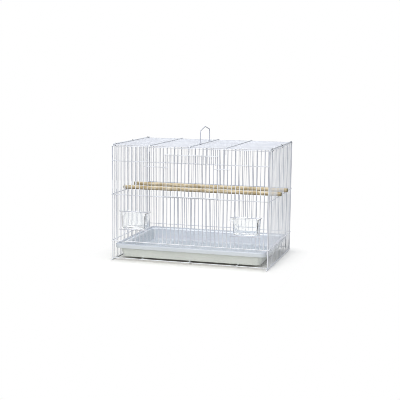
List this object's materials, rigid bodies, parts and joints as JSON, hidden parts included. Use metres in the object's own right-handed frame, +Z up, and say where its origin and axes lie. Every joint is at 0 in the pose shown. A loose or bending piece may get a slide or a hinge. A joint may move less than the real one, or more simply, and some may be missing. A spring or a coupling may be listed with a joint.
{
  "type": "bird cage",
  "caption": "Rectangular white wire bird cage with a sliding front door, pull-out tray, clear feed cups, dowel perches and a folding carry handle.",
  "frame": {"origin": "on the floor under the middle of the cage", "axes": "+X to the right along the front, +Y to the back, +Z up"},
  "size_m": [0.5248, 0.376, 0.4199],
  "materials": {
    "white_wire": "smooth white powder coat over welded steel wire",
    "clip_steel": "dull zinc-plated steel strip",
    "perch_wood": "bare pale softwood dowel",
    "tray_plastic": "moulded pale grey plastic, glossy inside",
    "clear_plastic": "clear moulded plastic"
  },
  "bodies": {
    "cage": {"left_end_hoop": "white_wire", "right_end_hoop": "white_wire", "left_foot_rail": "white_wire", "right_foot_rail": "white_wire", "front_rails": "white_wire", "front_bars": "white_wire", "back_rails": "white_wire", "back_bars": "white_wire", "left_side_rails": "white_wire", "left_side_bars": "white_wire", "right_side_rails": "white_wire", "right_side_bars": "white_wire", "roof_cross_wires": "white_wire", "roof_bars": "white_wire", "roof_clips": "clip_steel", "bottom_rails": "white_wire", "tray_runners": "white_wire", "left_cup_frame": "white_wire", "right_cup_frame": "white_wire", "upper_door_guides": "white_wire", "lower_door_guides": "white_wire", "front_perch": "perch_wood", "back_perch": "perch_wood"},
    "front_door": {"door_bars": "white_wire", "door_rails": "white_wire"},
    "litter_tray": {"tray": "tray_plastic"},
    "left_feed_cup": {"left_cup": "clear_plastic"},
    "right_feed_cup": {"right_cup": "clear_plastic"},
    "handle": {"carry_handle": "white_wire"}
  },
  "joints": [
    {"name": "door_slide", "type": "slide", "parent": "cage", "child": "front_door", "axis": [0, 0, 1], "range_m": [0, 0.085]},
    {"name": "tray_slide", "type": "slide", "parent": "cage", "child": "litter_tray", "axis": [0, -1, 0], "range_m": [0, 0.32]},
    {"name": "left_cup_pull", "type": "slide", "parent": "cage", "child": "left_feed_cup", "axis": [0, -1, 0], "range_m": [0, 0.06]},
    {"name": "right_cup_pull", "type": "slide", "parent": "cage", "child": "right_feed_cup", "axis": [0, -1, 0], "range_m": [0, 0.06]},
    {"name": "handle_fold", "type": "hinge", "parent": "cage", "child": "handle", "pos_m": [0, 0, 0.366], "axis": [0, 1, 0], "range_deg": [-85, 85]}
  ]
}
